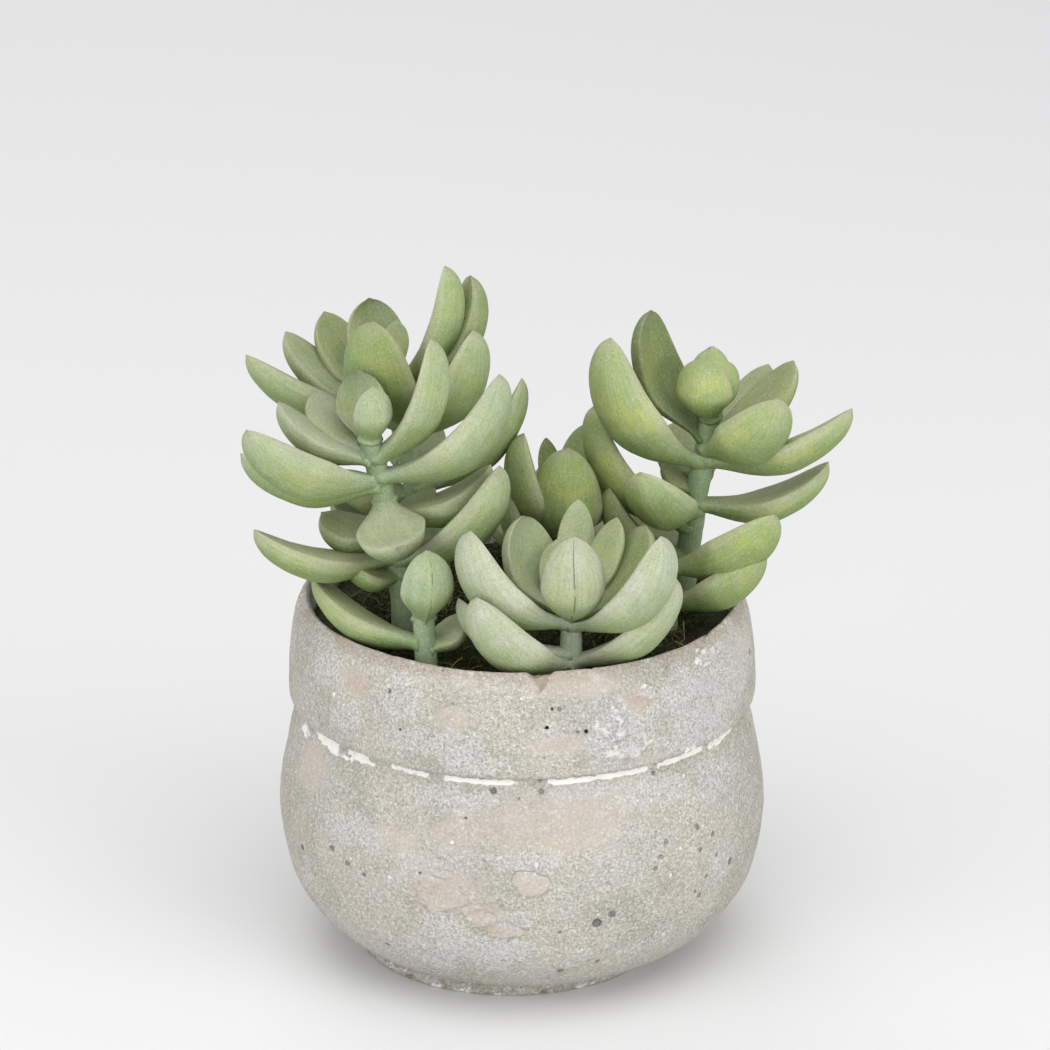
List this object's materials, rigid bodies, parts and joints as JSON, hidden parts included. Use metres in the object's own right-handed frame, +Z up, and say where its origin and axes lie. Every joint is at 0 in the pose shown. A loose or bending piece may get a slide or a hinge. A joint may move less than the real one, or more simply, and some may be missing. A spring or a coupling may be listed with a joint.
{
  "type": "potted aeonium",
  "caption": "Small potted succulent: leafy stems of fat, pointed, pale green leaves rise from moss and soil in a round-bellied cement pot with a tall collar.",
  "frame": {"origin": "on the pot's vertical axis, at the flat underside of its foot", "axes": "+Z up; +X to the right and +Y away from the viewer of the pot's front, as in the picture"},
  "size_m": [0.151, 0.1238, 0.179],
  "materials": {
    "cement": "matte",
    "soil": "matte",
    "moss": "matte",
    "leaf": "matte"
  },
  "bodies": {
    "root": {"pot": "cement", "soil": "soil", "moss": "moss", "stem_front_left": "leaf", "stem_back_left": "leaf", "stem_low_left": "leaf", "stem_front": "leaf", "stem_middle": "leaf", "stem_right": "leaf", "stem_low_right": "leaf", "stem_back": "leaf"}
  },
  "joints": []
}
